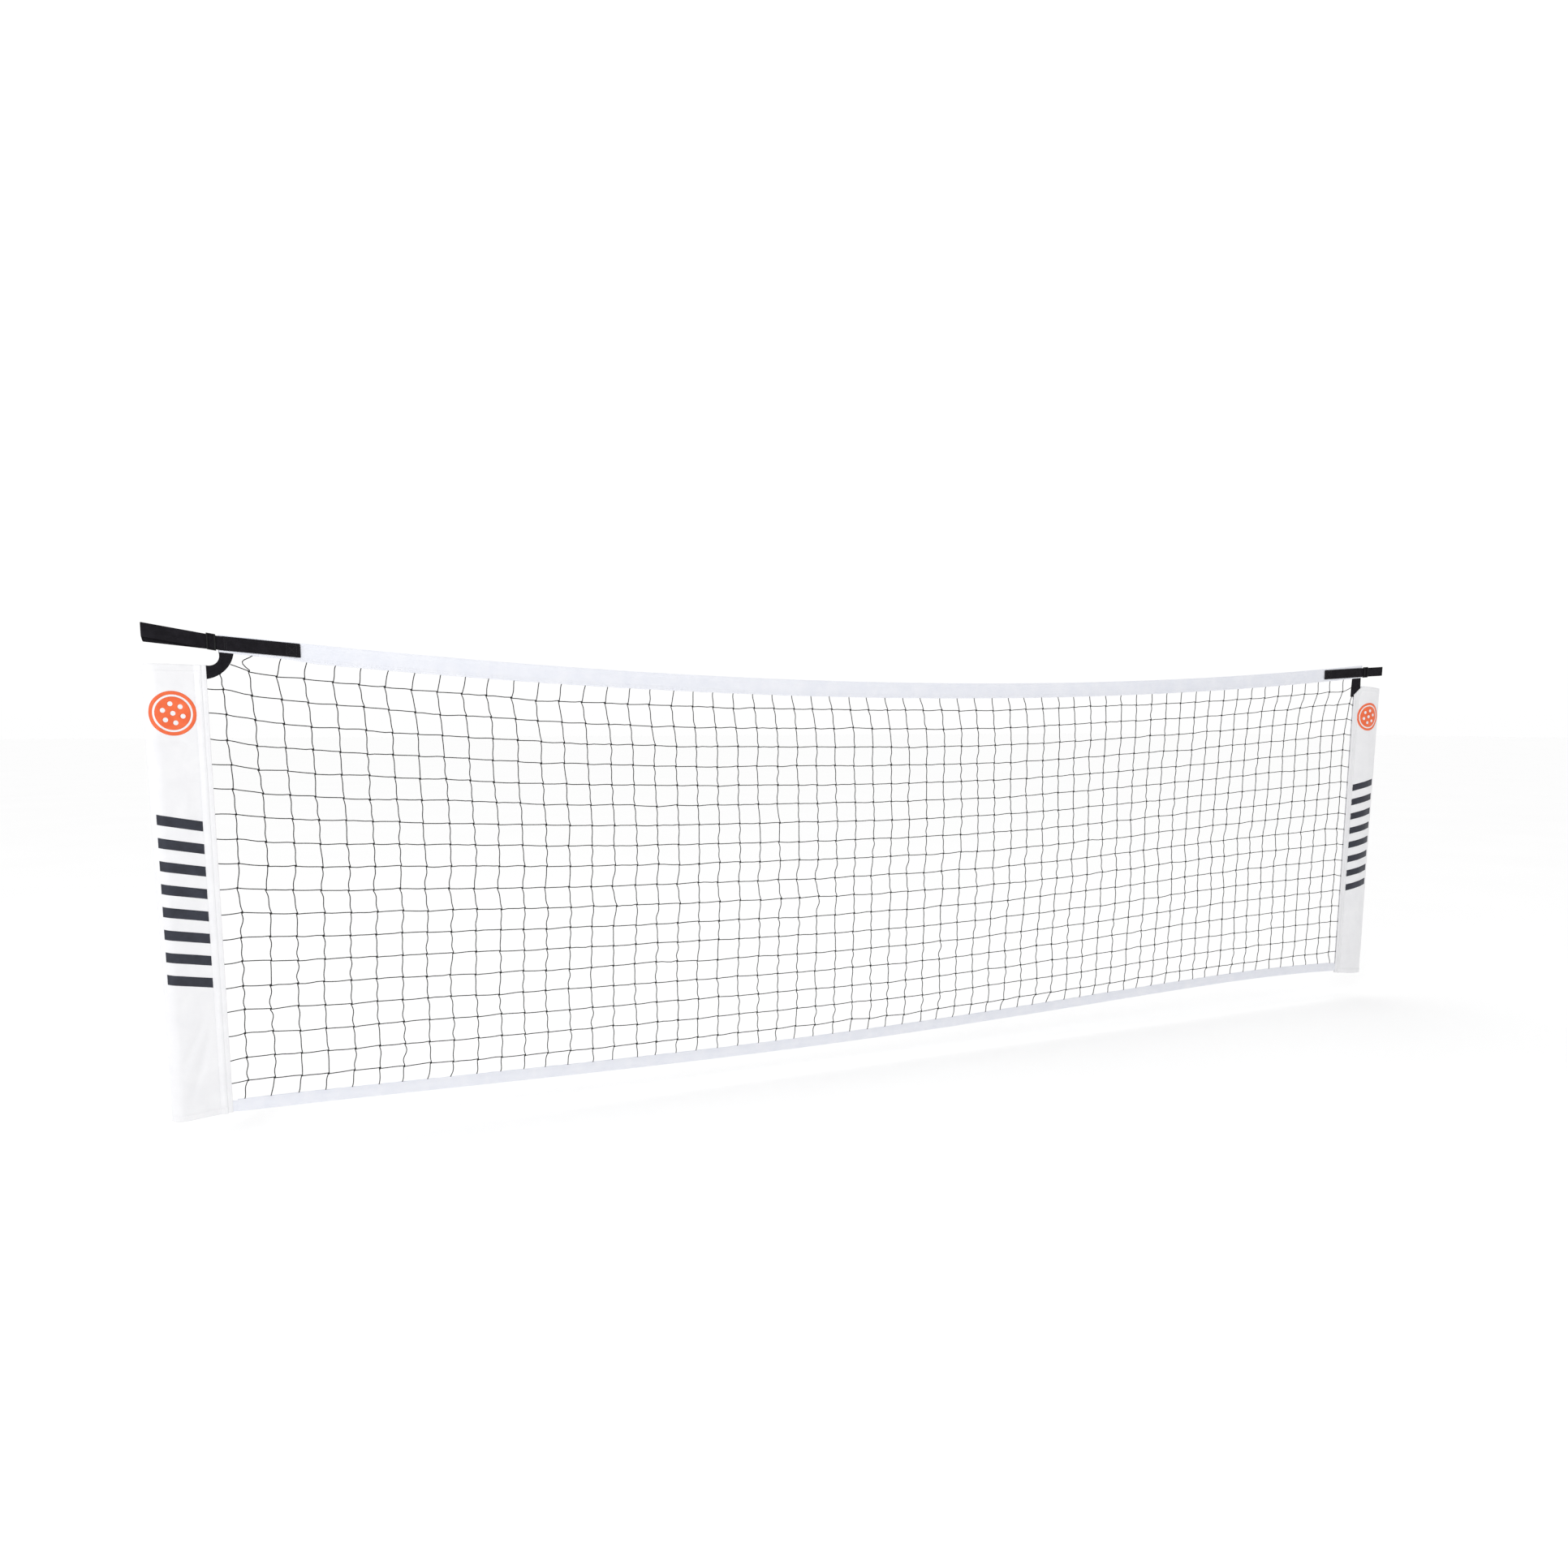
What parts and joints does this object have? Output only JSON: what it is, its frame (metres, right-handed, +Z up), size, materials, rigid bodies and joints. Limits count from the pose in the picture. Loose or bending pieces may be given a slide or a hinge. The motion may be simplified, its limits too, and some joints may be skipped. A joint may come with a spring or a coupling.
{
  "type": "portable pickleball net",
  "caption": "Wide low net of knotted square mesh with folded white tapes along top and foot, a tubular post sleeve at each end, and an adjustable webbing loop at each top corner.",
  "frame": {"origin": "midway between the two posts, in the plane of the mesh, at the level of the feet of the two post sleeves", "axes": "+X along the net towards the right end, +Z up, -Y the front face that carries the straps"},
  "size_m": [3.0535, 0.038, 0.8919],
  "materials": {
    "sleeve_fabric": "white coated polyester, slightly creased",
    "tape_fabric": "white coated polyester tape",
    "mesh_twine": "black knotted polyethylene twine",
    "border_cord": "black braided cord",
    "black_webbing": "black woven webbing",
    "black_plastic": "satin moulded black plastic",
    "black_thread": "bonded black thread",
    "white_thread": "bonded white thread",
    "orange_print": "orange screen print on fabric",
    "navy_print": "dark navy screen print on fabric"
  },
  "bodies": {
    "net": {"net_mesh": "mesh_twine", "top_tape": "tape_fabric", "headline_cord": "border_cord", "bottom_tape": "tape_fabric", "foot_cord": "border_cord", "left_corner_binding": "black_webbing", "right_corner_binding": "black_webbing", "left_strap_anchor": "black_webbing", "right_strap_anchor": "black_webbing", "left_box_stitch": "black_thread", "right_box_stitch": "black_thread"},
    "left_sleeve": {"left_post_sleeve": "sleeve_fabric", "left_edge_tape": "sleeve_fabric", "left_side_cord": "border_cord"},
    "right_sleeve": {"right_post_sleeve": "sleeve_fabric", "right_edge_tape": "sleeve_fabric", "right_side_cord": "border_cord"},
    "left_strap": {"left_strap_loop": "black_webbing"},
    "right_strap": {"right_strap_loop": "black_webbing"},
    "left_slider": {"left_tri_glide": "black_plastic"},
    "right_slider": {"right_tri_glide": "black_plastic"}
  },
  "joints": [
    {"name": "left_sleeve_fold", "type": "hinge", "parent": "net", "child": "left_sleeve", "pos_m": [-1.4215, 0, 0.4], "axis": [0, 0, 1], "range_deg": [-120, 120]},
    {"name": "right_sleeve_fold", "type": "hinge", "parent": "net", "child": "right_sleeve", "pos_m": [1.4215, 0, 0.4], "axis": [0, 0, 1], "range_deg": [-120, 120]},
    {"name": "left_loop_swing", "type": "hinge", "parent": "net", "child": "left_strap", "pos_m": [-1.404, -0.0039, 0.8434], "axis": [0, 0, 1], "range_deg": [-60, 60]},
    {"name": "right_loop_swing", "type": "hinge", "parent": "net", "child": "right_strap", "pos_m": [1.45, -0.0039, 0.8427], "axis": [0, 0, 1], "range_deg": [-60, 60]},
    {"name": "left_glide_travel", "type": "slide", "parent": "left_strap", "child": "left_slider", "axis": [-0.9862, 0, 0.1657], "range_m": [0, 0.088]},
    {"name": "right_glide_travel", "type": "slide", "parent": "right_strap", "child": "right_slider", "axis": [0.9982, 0, 0.0604], "range_m": [0, 0.052]}
  ]
}
